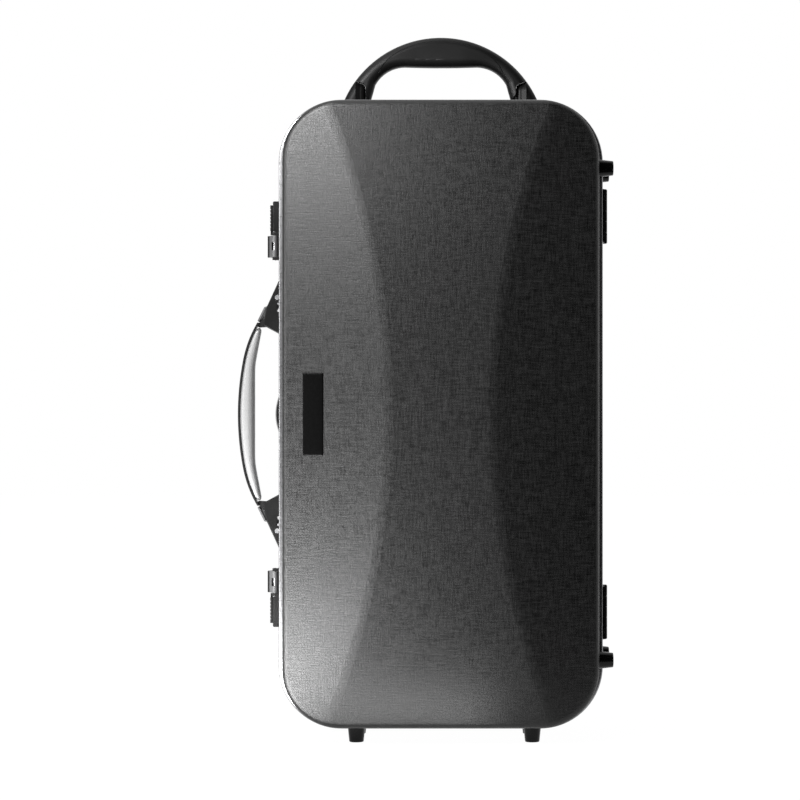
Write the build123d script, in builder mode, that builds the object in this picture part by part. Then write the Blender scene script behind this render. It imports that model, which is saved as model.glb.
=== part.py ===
"""Hard case for a bassoon: two hinged shells, side latches, a sliding side handle and a folding end handle.

The case stands on its end feet, as it is put down on the floor.
Z is up along the case's length, the lid faces -Y, the hinges are on +X and the side handle on -X.
The origin is on the floor, under the middle of the seam between lid and base.
"""

import os
from math import atan2, degrees, hypot, sqrt

from build123d import *

# Shells, sizes over the rims
case_length = 660.0
case_width = 340.0
rim_corner = 66.0  # outer corner radius of the rims
rim_stand = 6.0  # how far the rims stand out of the shell walls
rim_height = 16.0  # each rim, from the seam
shell_wall = 3.0
lid_depth = 80.0  # seam to the crown of the lid
base_depth = 86.0  # seam to the crown of the base
panel_waist = 53.0  # half width of the crowned panel at mid length
panel_flare = 66.0  # how much that half width grows towards the ends
side_slope = 0.20  # fall of the side panels for each mm outwards
shoulder_round = 7.0
least_round = 2.0  # the shoulders of the inner forms keep at least this radius
crease_round = 45.0

# Rims and seal
rim_web = 2.0  # rim in front of the shell's edge
rim_lip = 2.0  # rim inside the shell's wall
rim_lip_height = 8.0
rim_edge_round = 1.6
seat_gap = 0.1
groove_inset = 2.2  # seal groove, from the rim's outer side
groove_width = 2.8
groove_depth = 3.4
tongue_gap = 0.5
tongue_height = 1.5
seal_gap = 0.3

# Feet
foot_stand = 11.0  # end feet reach this far past the rims
side_foot_stand = 9.5
foot_root = 18.5
foot_tip = 15.0
foot_round = 1.0
end_foot_margin = 12.5  # in from where the end's corners start
end_foot_shift = 3.7  # the end feet stand off centre, towards the hinges
side_foot_margin = 8.0  # in from where the side's corners start
foot_seat_y = 35.0  # from the seam, on lid and base alike
foot_bore = 8.0
foot_bore_depth = 6.0

# Screws and rivets
screw_shank = 3.6
screw_hole = 4.0
screw_head = 6.8
screw_head_height = 2.4
nut_across = 9.0
nut_height = 1.4
rivet_shank = 2.8
rivet_grip = 4.6
rivet_head = 5.0
rivet_head_height = 0.7

# Hinges
hinge_height = 56.0
hinge_margin = 55.5  # hinge's middle, in from where the side's corners start
knuckle_radius = 2.6
knuckle_count = 5
knuckle_gap = 0.3
hinge_axis_stand = 2.9  # hinge axis, out from the rim's side
hinge_pin = 2.4
leaf_thickness = 1.6
leaf_width = 15.0
running_gap = 0.05
swing_gap = 0.6

# Latches, heights from the middle of the case for the upper one
latch_margin = 102.1  # latch's inner end, in from where the side's corners start
lug_height = 3.2
hasp_height = 22.3
latch_gap = 0.3
hasp_pivot_stand = 4.6
hasp_pivot_y = -9.0
hasp_barrel = 2.9
hasp_lug = 2.4
hasp_pin = 2.4
hasp_reach = 14.5  # hasp's tail past the seam
hasp_stand = 12.6
hasp_cap = 2.0
hasp_back_gap = 0.4
hasp_nose_y = -2.5
hasp_tail_y = 8.5
hasp_tail_stand = 9.5
window_height = 8.6
window_inner = 4.7
window_outer = 8.0
window_width = 13.8
plate_thickness = 1.3
plate_margin = 0.2  # between the plate's edge and the rim's rounded edge
lock_height = 35.3
lock_stand = 7.3
lock_side_gap = 0.8
lock_round = 1.5
slider_travel = 4.0
slider_stand = 10.2
slider_height = 27.1
slider_width = 10.0
slider_rib = 0.6
slider_rib_count = 6
finger_height = 4.2
finger_width = 5.0
bolt_thickness = 3.4
bolt_width = 6.4
bolt_length = 24.0
bolt_inset = 2.2
bolt_gap = 0.3
stem_width = 4.0
stem_height = 14.0
stem_cover = 1.0  # slider's thickness over the end of its stem
spring_radius = 1.6
spring_wire = 0.5
spring_length = 9.5

# Side handle, outwards from the rim and heights from the middle of the case
handle_y = 32.0
handle_lift = 7.0
bracket_width = 15.0
bracket_channel = 9.0
bracket_top = 153.4
bracket_foot = 81.0
bracket_neck = (0.7, 146.2)
bracket_shoulder = (15.8, 113.4)
bracket_tip = (19.4, 94.6)
bracket_bends = [6.0, 14.0, 3.0]  # at the neck, the shoulder and the tip
bracket_edge_round = 1.2
flange_thickness = 2.4
flange_width = 26.0
flange_margin = 13.0
channel_floor = 0.4
eye_out = 16.5
eye_height = 97.5
eye_radius = 4.6
ear_thickness = 2.0
ear_gap = 0.2
arm_rise = 20.1
arm_run = 13.4
arm_thickness = 4.0
arm_end = 2.6
arm_pin = 2.2
slot_width = 3.4
slot_bias = 0.2  # the pin's path bows towards the case by this much
tongue_top = (17.4, 113.4)
tongue_end = (24.2, 99.6)
tongue_thickness = 1.8
tongue_width = 12.0
bracket_rivet = (4.1, 124.2)
bracket_rivet_head = 5.2
strap_reach = 46.0
strap_thickness = 2.0
strap_width = 16.0
strap_bend_out = 40.6
strap_bend_height = 57.0
strap_end_out = 25.4
strap_end_height = 97.5
ear_root_drop = 3.0  # roots of the ears, below the strap's ends
grip_inner = 28.2
grip_flat = 52.0
grip_width = 24.0
grip_end_width = 15.0
grip_end_out = 19.6
grip_end_height = 92.0
grip_round = 4.5
grip_bend = 60.0
rest_diameter = 54.0
rest_stand = 6.3  # dome past the rim
rest_edge = 5.0
rest_y = 30.0
rest_gap = 0.3

# End handle, heights from the rim's end
end_handle_y = 38.0
end_handle_top = 72.2
end_handle_overlap = 1.4  # the arch meets the rim's level this far past where the corners start
end_pivot_height = 14.0
end_bar_depth = 22.0
end_bar_round = 8.5
leg_depth = 29.2  # arch's outer line to the leg's inner side, at the rim's level
leg_top_depth = 35.4
leg_top_height = 22.0
grip_under = 41.0
grip_under_depth = 67.4
grip_bulge = 0.7
parting_top = 4.0
parting_groove = 1.0  # width of the groove along the parting line
parting_groove_depth = 1.2
cheek_width = 4.0
post_gap = 0.4
knuckle_inner_radius = 4.0
knuckle_mid_radius = 9.4
knuckle_mid_out = 5.5
knuckle_outer_radius = 12.1
parting_side_depth = 56.7
parting_side_height = 54.4
parting_tip_depth = 36.8
parting_tip_height = 28.6
grip_tip_depth = 45.4
grip_tip_height = 22.0
post_foot_thickness = 2.4
post_foot_width = 40.0
post_foot_margin = 6.0
post_screw_margin = 5.0  # in from where the end's corners start
end_pin = 5.0
end_pin_length = 16.0

# Interior
tray_gap = 2.6  # clearance between the wall and the tray
tray_top = 3.0  # tray's face, behind the seam
long_bay = (42.0, case_length - 42.0, 42.0)  # width, length and depth
wing_bay = (44.0, case_length - 158.0, 42.0)
boot_bay = (68.0, case_length - 210.0, 52.0)
bell_bay = (76.0, case_length - 315.0, 54.0)
bell_neck = 54.0
bell_flare = 190.0  # the bell's bay is full wide from here on
crook_bay = (70.0, 250.0, 26.0)
crook_slot = 24.0
bay_edge_round = 12.0
bay_corner_rest = 2.0  # straight left at the end of a bay, each side of its middle
pocket_depth = 34.0
pocket_corner = 6.0
accessory_depth = 40.0
cover_length = 48.0
cover_thickness = 4.0
cover_ledge = 5.0
cover_gap = 0.5
cover_corner = 2.0
cover_barrel = 2.8
cover_pin = 2.0
cover_pin_seat = 5.0
finger_notch = 8.0
lining_thickness = 8.0
lining_start = 2.0

# Worked out from the sizes above
mid_z = foot_stand + case_length / 2
rim_x = case_width / 2
rim_z = case_length / 2
wall_x = rim_x - rim_stand
wall_z = rim_z - rim_stand
end_drop = side_slope * panel_flare
end_land = rim_x - rim_corner  # half the straight part of an end
side_land = rim_z - rim_corner  # half the straight part of a side
front, back = -1, 1
over_cut = 1.0  # cuts and picks reach this far past the edge that they are for

seam_mid = Plane.XY.offset(mid_z)


def seam_plane(side, start=0.0):
    """Plane in the seam, or start past it, that looks out of the lid or the base."""
    return Plane(origin=(0, side * start, mid_z), x_dir=(1, 0, 0), z_dir=(0, side, 0))


def left_plane(y):
    """Plane across the latch side: x outwards from the rim, y upwards from mid length."""
    return Plane(origin=(-rim_x, y, mid_z), x_dir=(-1, 0, 0), z_dir=(0, 1, 0))


def left_section(height):
    """Level plane on the latch side: x outwards from the rim, y towards the base, extruding down."""
    return Plane(origin=(-rim_x, 0, mid_z + height), x_dir=(-1, 0, 0), z_dir=(0, 0, -1))


def left_wall(height, y):
    """Seat on the latch side of the shell wall."""
    return Plane(origin=(-wall_x, y, mid_z + height), x_dir=(0, 1, 0), z_dir=(-1, 0, 0))


def right_wall(height, y):
    """Seat on the hinge side of the shell wall."""
    return Plane(origin=(wall_x, y, mid_z + height), x_dir=(0, 1, 0), z_dir=(1, 0, 0))


def bottom_wall(x, y):
    """Seat on the lower end wall."""
    return Plane(origin=(x, y, mid_z - wall_z), x_dir=(1, 0, 0), z_dir=(0, 0, -1))


def top_wall(x, y):
    """Seat on the upper end wall."""
    return Plane(origin=(x, y, mid_z + wall_z), x_dir=(1, 0, 0), z_dir=(0, 0, 1))


def ring(side, outer_inset, inner_inset, start, height):
    """Band round the case between two insets from the rim's outline."""
    with BuildPart() as band:
        with BuildSketch(seam_plane(side, start)):
            for inset, mode in ((outer_inset, Mode.ADD), (inner_inset, Mode.SUBTRACT)):
                width, length = case_width - 2 * inset, case_length - 2 * inset
                RectangleRounded(width, length, rim_corner - inset, mode=mode)
        extrude(amount=height)
    return band.part


def shell_form(side, inset, depth, start=0.0):
    """Closed form of a shell: a crowned panel meets two sloping side panels along curved creases."""
    half_width, half_length = rim_x - inset, rim_z - inset
    deeper = inset - rim_stand
    crown_plane = Plane(origin=(0, 0, mid_z), x_dir=(0, 0, -side), z_dir=(1, 0, 0))
    gable_plane = Plane(origin=(0, 0, mid_z), x_dir=(1, 0, 0), z_dir=(0, 0, side))
    peak = depth + side_slope * panel_waist
    with BuildPart() as form:
        with BuildSketch(crown_plane):
            with BuildLine():
                top = ThreePointArc((-wall_z, depth - end_drop), (0, depth), (wall_z, depth - end_drop))
                Polyline(top @ 1, (wall_z, start), (-wall_z, start), top @ 0)
            make_face()
        extrude(amount=half_width, both=True)
        with BuildSketch(gable_plane):
            with BuildLine():
                fall = peak - side_slope * half_width
                Polyline(
                    (-half_width, start), (-half_width, fall), (0, peak),
                    (half_width, fall), (half_width, start), close=True,
                )
            make_face()
        extrude(amount=wall_z, both=True, mode=Mode.INTERSECT)
        fillet(form.edges().filter_by(GeomType.LINE, reverse=True), crease_round - deeper)
        with BuildSketch(seam_plane(side)):
            RectangleRounded(2 * half_width, 2 * half_length, rim_corner - inset)
        extrude(amount=depth, mode=Mode.INTERSECT)
        walls = form.faces().filter_by(lambda face: abs(face.normal_at().Y) < 0.01)
        seams = abs(start) + over_cut
        shoulders = walls.edges().filter_by(Axis.Y, reverse=True)
        shoulders = shoulders.filter_by(lambda edge: abs(edge.center().Y) > seams)
        fillet(shoulders, max(shoulder_round - deeper, least_round))
    return form.part


def fastener(seats, head, head_height, shank, grip, nut_flats=0.0, nut_thickness=0.0):
    """One fastener on each seat: a head outside, a shank inwards and, on a screw, a six-sided nut."""
    with BuildPart() as group:
        for seat in seats:
            with BuildSketch(seat.offset(-grip)):
                Circle(shank / 2)
            extrude(amount=grip + head_height / 2)
            with BuildSketch(seat):
                Circle(head / 2)
            extrude(amount=head_height)
            if nut_flats:
                with BuildSketch(seat.offset(-grip)):
                    RegularPolygon(nut_flats / 2, 6, major_radius=False)
                extrude(amount=nut_thickness)
    return group.part


def save(part, name):
    """Names a finished piece and writes it."""
    part.label = name
    export_step(part, f"parts/{name}.step")


def lower_copy(part):
    """The same piece mirrored to the lower half of the case."""
    with BuildPart() as copy:
        mirror(part, about=seam_mid)
    return copy.part


def save_pair(part, name):
    """Writes the upper piece and its mirrored lower twin."""
    save(part, f"upper_{name}")
    save(lower_copy(part), f"lower_{name}")


os.makedirs("parts", exist_ok=True)

# Where the feet stand, on the lid and on the base
foot_seats = {}
for side in (front, back):
    y = side * foot_seat_y
    end_seats = [
        bottom_wall(end_foot_shift + half * (end_land - end_foot_margin), y) for half in (-1, 1)
    ]
    side_seats = [right_wall(half * (side_land - side_foot_margin), y) for half in (-1, 1)]
    foot_seats[side] = (end_seats, side_seats)


def rubber_feet(seats, length):
    """Tapered rubber feet with a sunk screw bore in the sole."""
    with BuildPart() as feet:
        with Locations(seats):
            Cone(foot_root / 2, foot_tip / 2, length, align=(Align.CENTER, Align.CENTER, Align.MIN))
        for seat in seats:
            sole = seat.offset(length)
            with Locations(sole):
                CounterBoreHole(screw_hole / 2, foot_bore / 2, foot_bore_depth, depth=length)
            rims = feet.edges().filter_by(GeomType.CIRCLE)
            rims = rims.filter_by(lambda edge: (edge.arc_center - sole.origin).length < 0.01)
            fillet(rims.sort_by(SortBy.RADIUS)[-1], foot_round)
    return feet.part


for side, half in ((front, "lid"), (back, "base")):
    end_seats, side_seats = foot_seats[side]
    end_foot_length = rim_stand + foot_stand
    side_foot_length = rim_stand + side_foot_stand
    save(rubber_feet(end_seats, end_foot_length), f"{half}_end_feet")
    save(rubber_feet(side_seats, side_foot_length), f"{half}_side_feet")
    with BuildPart() as foot_screws:
        for seats, length in ((end_seats, end_foot_length), (side_seats, side_foot_length)):
            head_at = length - foot_bore_depth
            seats = [seat.offset(head_at) for seat in seats]
            add(fastener(seats, screw_head, screw_head_height, screw_shank,
                         head_at + shell_wall + nut_height, nut_across, nut_height))
    save(foot_screws.part, f"{half}_foot_screws")

# Seats of the handle brackets and of the end posts on the base
flange_top = bracket_top + flange_margin
flange_foot = bracket_foot - flange_margin
bracket_seats = [
    left_wall(half * height, handle_y)
    for half in (-1, 1)
    for height in (bracket_top + flange_margin / 2, bracket_foot - flange_margin / 2)
]
end_half_span = end_land + end_handle_overlap
end_handle_radius = (end_half_span**2 + end_handle_top**2) / (2 * end_handle_top)
end_center_z = end_handle_top - end_handle_radius


def arch_x(height):
    """Half width of the end handle's outer arch at a height over the rim."""
    return sqrt(end_handle_radius**2 - (height - end_center_z) ** 2)


leg_inner = end_half_span - leg_depth
leg_top_inner = end_half_span - leg_top_depth
grip_under_half = end_half_span - grip_under_depth
knuckle_face = leg_inner + cheek_width + post_gap
post_inner = knuckle_face - post_foot_margin
post_outer = arch_x(-rim_stand)
post_screw_y = (end_bar_depth + screw_head) / 2 + post_gap
post_seats = [
    top_wall(half * (end_land - post_screw_margin), end_handle_y + face * post_screw_y)
    for half in (-1, 1)
    for face in (-1, 1)
]

# Lid and base shells
for side, half, depth in ((front, "lid", lid_depth), (back, "base", base_depth)):
    inner = rim_stand + shell_wall
    with BuildPart() as shell:
        add(shell_form(side, rim_stand, depth, rim_web + seat_gap))
        add(shell_form(side, inner, depth - shell_wall), mode=Mode.SUBTRACT)
        end_seats, side_seats = foot_seats[side]
        screwed = end_seats + side_seats
        if side == back:
            screwed = screwed + bracket_seats + post_seats
        for seat in screwed:
            with Locations(seat):
                Hole(screw_hole / 2, depth=shell_wall + over_cut)
    save(shell.part, f"{half}_shell")

# Rims: an outer leg over the shell's wall, a web across its edge and a lip inside it
hinge_mid = side_land - hinge_margin
hinge_seat_heights = [
    half * (hinge_mid + offset)
    for half in (-1, 1)
    for offset in (-hinge_height / 3, hinge_height / 3)
]
leaf_rivet_y = (leaf_width + knuckle_radius) / 2
leg_thickness = rim_stand - seat_gap
for side, half in ((front, "lid"), (back, "base")):
    inner_face = rim_stand + shell_wall + seat_gap
    groove = (groove_inset, groove_inset + groove_width)
    with BuildPart() as rim:
        add(ring(side, 0, leg_thickness, 0, rim_height))
        add(ring(side, leg_thickness / 2, inner_face + rim_lip, 0, rim_web))
        add(ring(side, inner_face, inner_face + rim_lip, 0, rim_lip_height))
        outline = rim.faces().filter_by(Axis.Y).sort_by(Axis.Y)[-1 if side > 0 else 0]
        fillet(outline.outer_wire().edges(), rim_edge_round)
        if side == back:
            add(ring(side, *groove, 0, groove_depth), mode=Mode.SUBTRACT)
        else:
            tongue = (groove[0] + tongue_gap, groove[1] - tongue_gap)
            add(ring(side, *tongue, -tongue_height, tongue_height + rim_web / 2))
        for height in hinge_seat_heights:
            seat = right_wall(height, side * leaf_rivet_y).offset(rim_stand)
            with Locations(seat):
                Hole(rivet_shank / 2 + seat_gap / 2, depth=rivet_grip)
    save(rim.part, f"{half}_rim")

seal_height = groove_depth - tongue_height - seal_gap
with BuildPart() as seal_gasket:
    add(ring(back, groove_inset + seat_gap, groove_inset + groove_width - seat_gap,
             groove_depth - seal_height, seal_height))
save(seal_gasket.part, "seal_gasket")

# Hinges: five knuckles on one pin, three on the base's leaf and two on the lid's
hinge_x = rim_x + hinge_axis_stand
knuckle_height = (hinge_height - (knuckle_count - 1) * knuckle_gap) / knuckle_count


def hinge_leaf(side):
    """Leaf of the upper hinge, with the knuckles that belong to its side."""
    bottom = mid_z + hinge_mid - hinge_height / 2
    own = range(0 if side == back else 1, knuckle_count, 2)
    section = Plane(origin=(hinge_x, 0, bottom), x_dir=(1, 0, 0), z_dir=(0, 0, 1))
    plate_in = -hinge_axis_stand
    free_edge = knuckle_radius + swing_gap
    with BuildPart() as leaf:
        with BuildSketch(section):
            with Locations((plate_in + leaf_thickness / 2, side * (free_edge + leaf_width) / 2)):
                Rectangle(leaf_thickness, leaf_width - free_edge)
        extrude(amount=hinge_height)
        corners = leaf.edges().filter_by(Axis.X).group_by(SortBy.LENGTH)[0]
        outer = corners.filter_by(lambda edge: abs(edge.center().Y) > free_edge + over_cut)
        fillet(outer, knuckle_radius)
        for index in own:
            level = index * (knuckle_height + knuckle_gap)
            with BuildSketch(section.offset(level)):
                Circle(knuckle_radius)
                with Locations((plate_in + leaf_thickness / 2, side * free_edge / 2)):
                    Rectangle(leaf_thickness, free_edge)
            extrude(amount=knuckle_height)
        with BuildSketch(section):
            Circle(hinge_pin / 2 + running_gap)
        extrude(amount=hinge_height, mode=Mode.SUBTRACT)
        for offset in (-hinge_height / 3, hinge_height / 3):
            seat = right_wall(hinge_mid + offset, side * leaf_rivet_y).offset(rim_stand + leaf_thickness)
            with Locations(seat):
                Hole(rivet_shank / 2 + seat_gap / 2, depth=leaf_thickness)
    return leaf.part


with BuildPart() as upper_hinge_pin:
    pin_foot = mid_z + hinge_mid - hinge_height / 2
    with BuildSketch(Plane.XY.offset(pin_foot - rivet_head_height)):
        with Locations((hinge_x, 0)):
            Circle(hinge_pin / 2)
    extrude(amount=hinge_height + 2 * rivet_head_height)
    for level, lift in ((pin_foot, -1), (pin_foot + hinge_height, 1)):
        with BuildSketch(Plane(origin=(hinge_x, 0, level), x_dir=(1, 0, 0), z_dir=(0, 0, lift))):
            Circle(hinge_pin / 2 + rivet_head_height)
        extrude(amount=rivet_head_height)
save_pair(hinge_leaf(back), "hinge_base_leaf")
save_pair(hinge_leaf(front), "hinge_lid_leaf")
save_pair(upper_hinge_pin.part, "hinge_pin")
for side, half in ((front, "lid"), (back, "base")):
    seats = [
        right_wall(height, side * leaf_rivet_y).offset(rim_stand + leaf_thickness)
        for height in hinge_seat_heights
    ]
    save(fastener(seats, rivet_head, rivet_head_height, rivet_shank, rivet_grip), f"{half}_hinge_rivets")

# Latches: a hasp on the lid closes over the seam, beside a lock on the base
latch_inner_end = side_land - latch_margin
lug_top = latch_inner_end + lug_height
hasp_foot = lug_top + latch_gap
hasp_top = hasp_foot + hasp_height
upper_lug_foot = hasp_top + latch_gap
lock_foot = upper_lug_foot + lug_height / 2 - latch_gap
lock_top = lock_foot + lock_height
plate_edge = rim_height - rim_edge_round - plate_margin
pin_center = (hasp_pivot_stand, hasp_pivot_y)

with BuildPart() as upper_latch_plate:
    plate_top = upper_lug_foot + lug_height
    with BuildSketch(left_section(plate_top)):
        with Locations((plate_thickness / 2, -(plate_edge + lock_side_gap) / 2)):
            Rectangle(plate_thickness, plate_edge - lock_side_gap)
    extrude(amount=plate_top - latch_inner_end)
    for top in (plate_top, lug_top):
        with BuildSketch(left_section(top)):
            with Locations(pin_center):
                Circle(hasp_lug)
            with Locations((hasp_pivot_stand / 2, hasp_pivot_y)):
                Rectangle(hasp_pivot_stand, 2 * hasp_lug)
        extrude(amount=lug_height)
    with BuildSketch(left_section(plate_top)):
        with Locations(pin_center):
            Circle(hasp_pin / 2)
    extrude(amount=plate_top - latch_inner_end, mode=Mode.SUBTRACT)
save_pair(upper_latch_plate.part, "latch_plate")

with BuildPart() as upper_hasp_pin:
    with BuildSketch(left_section(plate_top + rivet_head_height / 2)):
        with Locations(pin_center):
            Circle(hasp_pin / 2)
    extrude(amount=plate_top - latch_inner_end + rivet_head_height)
save_pair(upper_hasp_pin.part, "hasp_pin")

with BuildPart() as upper_hasp:
    inner = plate_thickness + hasp_back_gap
    with BuildSketch(left_section(hasp_top)):
        with Locations(pin_center):
            Circle(hasp_barrel)
        with BuildLine():
            cap_face = hasp_stand - hasp_cap
            Polyline(
                (hasp_pivot_stand + hasp_barrel, hasp_pivot_y), (cap_face, hasp_nose_y),
                (cap_face, hasp_tail_y), (hasp_tail_stand, hasp_reach), (inner, hasp_reach),
                (inner, hasp_pivot_y), close=True,
            )
        make_face()
    extrude(amount=hasp_height)
    ends = upper_hasp.faces().sort_by(Axis.Y)[-1]
    fillet(ends.edges().filter_by(Axis.X), lock_round)
    with BuildSketch(left_section(hasp_top)):
        with Locations(pin_center):
            Circle(hasp_pin / 2 + running_gap)
    extrude(amount=hasp_height, mode=Mode.SUBTRACT)
    with BuildSketch(left_section((hasp_foot + hasp_top + window_height) / 2)):
        with Locations(((window_inner + window_outer) / 2, hasp_pivot_y)):
            Rectangle(window_outer - window_inner, window_width)
    extrude(amount=window_height, mode=Mode.SUBTRACT)
    with BuildSketch(left_section(hasp_top)):
        with Locations((bolt_inset + bolt_thickness / 2, rim_height / 2)):
            Rectangle(bolt_thickness + bolt_gap * 2, bolt_width + bolt_gap * 2)
    extrude(amount=lug_height, mode=Mode.SUBTRACT)
save_pair(upper_hasp.part, "hasp")

with BuildPart() as upper_hasp_cap:
    with BuildSketch(left_section(hasp_top)):
        with BuildLine():
            Polyline(
                (cap_face, hasp_nose_y), (hasp_stand, hasp_nose_y + hasp_cap),
                (hasp_stand, hasp_tail_y - hasp_cap), (cap_face, hasp_tail_y), close=True,
            )
        make_face()
    extrude(amount=hasp_height)
save_pair(upper_hasp_cap.part, "hasp_cap")

bolt_center = bolt_inset + bolt_thickness / 2
slot_center_y = rim_height / 2
with BuildPart() as upper_lock_body:
    with BuildSketch(left_section(lock_top)):
        with Locations((lock_stand / 2, slot_center_y)):
            Rectangle(lock_stand, plate_edge - lock_side_gap)
    extrude(amount=lock_height)
    outer = upper_lock_body.faces().sort_by(Axis.X)[0]
    fillet(outer.edges(), lock_round)
    channel_height = bolt_length + spring_length
    with BuildSketch(left_section(lock_foot + channel_height)):
        with Locations((bolt_center, slot_center_y)):
            Rectangle(bolt_thickness + 2 * bolt_gap, bolt_width + 2 * bolt_gap)
    extrude(amount=channel_height, mode=Mode.SUBTRACT)
    stem_foot = lock_foot + slider_travel
    with BuildSketch(left_section(stem_foot + stem_height + slider_travel + bolt_gap)):
        with Locations(((bolt_center + lock_stand) / 2, slot_center_y)):
            Rectangle(lock_stand - bolt_center, stem_width + 2 * bolt_gap)
    extrude(amount=stem_height + slider_travel + 2 * bolt_gap, mode=Mode.SUBTRACT)
save_pair(upper_lock_body.part, "lock_body")

with BuildPart() as upper_lock_slider:
    nose = hasp_top + latch_gap
    bolt_top = lock_foot + bolt_length
    stem_end = slider_stand - stem_cover
    with BuildSketch(left_section(bolt_top)):
        with Locations((bolt_center, slot_center_y)):
            Rectangle(bolt_thickness, bolt_width)
    extrude(amount=bolt_top - nose)
    with BuildSketch(left_section(stem_foot + stem_height)):
        with Locations(((bolt_center + stem_end) / 2, slot_center_y)):
            Rectangle(stem_end - bolt_center, stem_width)
    extrude(amount=stem_height)
    bar_top = lock_top - slider_travel
    bar_floor = lock_stand + bolt_gap
    with BuildSketch(left_section(bar_top)):
        with Locations(((bar_floor + slider_stand) / 2, slot_center_y)):
            Rectangle(slider_stand - bar_floor, slider_width)
    extrude(amount=slider_height)
    outer = upper_lock_slider.faces().sort_by(Axis.X)[0]
    fillet(outer.edges(), slider_rib)
    with BuildSketch(left_section(bar_top - slider_height)):
        with Locations(((bar_floor + slider_stand) / 2, slot_center_y)):
            Rectangle(slider_stand - bar_floor - slider_rib, finger_width)
    extrude(amount=finger_height)
    pitch = (slider_height - 2 * slider_rib) / (slider_rib_count + 1)
    for index in range(slider_rib_count):
        level = bar_top - slider_rib - (index + 1) * pitch
        with BuildSketch(left_section(level + slider_rib)):
            with Locations((slider_stand, slot_center_y)):
                Rectangle(2 * slider_rib, slider_width)
        extrude(amount=2 * slider_rib, mode=Mode.SUBTRACT)
save_pair(upper_lock_slider.part, "lock_slider")

with BuildPart() as upper_lock_spring:
    with BuildSketch(left_section(bolt_top + spring_length)):
        with Locations((bolt_center, slot_center_y)):
            Circle(spring_radius)
            Circle(spring_radius - spring_wire, mode=Mode.SUBTRACT)
    extrude(amount=spring_length)
save_pair(upper_lock_spring.part, "lock_spring")

# Side handle: two slotted brackets guide the pins of the arms that carry the strap and its grip
arm_length = hypot(arm_rise, arm_run)
slot_pin_out = eye_out - arm_run
slot_pin_height = eye_height + arm_rise
lifted_rise = sqrt(arm_length**2 - (arm_run + handle_lift) ** 2)
pin_travel = arm_rise - lifted_rise
arm_turn = atan2(arm_run + handle_lift, lifted_rise) - atan2(arm_run, arm_rise)
print("arm turn for each mm of lift, degrees", round(degrees(arm_turn) / handle_lift, 4))

with BuildPart() as upper_handle_bracket:
    with BuildSketch(left_plane(handle_y)):
        with BuildLine():
            outside = FilletPolyline(
                (-rim_stand, bracket_top), bracket_neck, bracket_shoulder, bracket_tip,
                (-rim_stand, bracket_foot), radius=bracket_bends,
            )
            Line(outside @ 1, outside @ 0)
        make_face()
    extrude(amount=bracket_width / 2, both=True)
    cheeks = upper_handle_bracket.faces().filter_by(Axis.Y)
    round_edges = cheeks.edges().filter_by(lambda edge: edge.center().X < -rim_x)
    fillet(round_edges, bracket_edge_round)
    with BuildSketch(left_wall((flange_top + flange_foot) / 2, handle_y)):
        SlotOverall(flange_top - flange_foot, flange_width, rotation=90)
    extrude(amount=flange_thickness)
    with BuildSketch(left_plane(handle_y)):
        floor = -rim_stand + flange_thickness + channel_floor
        with Locations((floor + case_width / 2, (bracket_top + bracket_foot) / 2)):
            Rectangle(case_width, 2 * (bracket_top - bracket_foot))
    extrude(amount=bracket_channel / 2, both=True, mode=Mode.SUBTRACT)
    with BuildSketch(left_plane(handle_y)):
        with Locations((slot_pin_out - slot_bias, slot_pin_height - pin_travel / 2)):
            SlotCenterToCenter(pin_travel, slot_width, rotation=90)
        with Locations(bracket_rivet):
            Circle(rivet_shank / 2 + seat_gap)
    extrude(amount=bracket_width, both=True, mode=Mode.SUBTRACT)
    for seat in bracket_seats[2:]:
        with Locations(seat.offset(flange_thickness)):
            Hole(screw_hole / 2, depth=flange_thickness)
save_pair(upper_handle_bracket.part, "handle_bracket")

rivet_ends = [
    Plane(origin=(-rim_x - bracket_rivet[0], handle_y + half * bracket_width / 2, mid_z + bracket_rivet[1]),
          x_dir=(1, 0, 0), z_dir=(0, half, 0))
    for half in (-1, 1)
]
save_pair(fastener(rivet_ends, bracket_rivet_head, rivet_head_height, rivet_shank, bracket_width / 2),
          "bracket_rivet")
bracket_heads = [seat.offset(flange_thickness) for seat in bracket_seats]
save(fastener(bracket_heads, screw_head, screw_head_height, screw_shank,
              flange_thickness + shell_wall + nut_height, nut_across, nut_height), "bracket_screws")

ear_outer = arm_thickness / 2 + ear_gap + ear_thickness
with BuildPart() as upper_handle_arm:
    with BuildSketch(left_plane(handle_y)):
        with Locations((slot_pin_out, slot_pin_height)):
            Circle(arm_end)
        with Locations((eye_out, eye_height)):
            Circle(arm_end)
        with Locations(tongue_top, tongue_end):
            Circle(tongue_thickness / 2)
        make_hull()
    extrude(amount=arm_thickness / 2, both=True)
    with BuildSketch(left_plane(handle_y)):
        with Locations(tongue_top, tongue_end):
            Circle(tongue_thickness / 2)
        make_hull()
    extrude(amount=tongue_width / 2, both=True)
    with BuildSketch(left_plane(handle_y)):
        with Locations((slot_pin_out, slot_pin_height)):
            Circle(arm_pin / 2)
        with Locations((eye_out, eye_height)):
            Circle(arm_pin / 2 + running_gap)
    extrude(amount=arm_thickness, both=True, mode=Mode.SUBTRACT)
save_pair(upper_handle_arm.part, "handle_arm")

with BuildPart() as upper_slot_pin:
    with BuildSketch(left_plane(handle_y)):
        with Locations((slot_pin_out, slot_pin_height)):
            Circle(arm_pin / 2)
    extrude(amount=bracket_width / 2 - ear_gap, both=True)
save_pair(upper_slot_pin.part, "slot_pin")

with BuildPart() as upper_eye_pin:
    with BuildSketch(left_plane(handle_y)):
        with Locations((eye_out, eye_height)):
            Circle(arm_pin / 2)
    extrude(amount=ear_outer, both=True)
save_pair(upper_eye_pin.part, "eye_pin")


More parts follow.
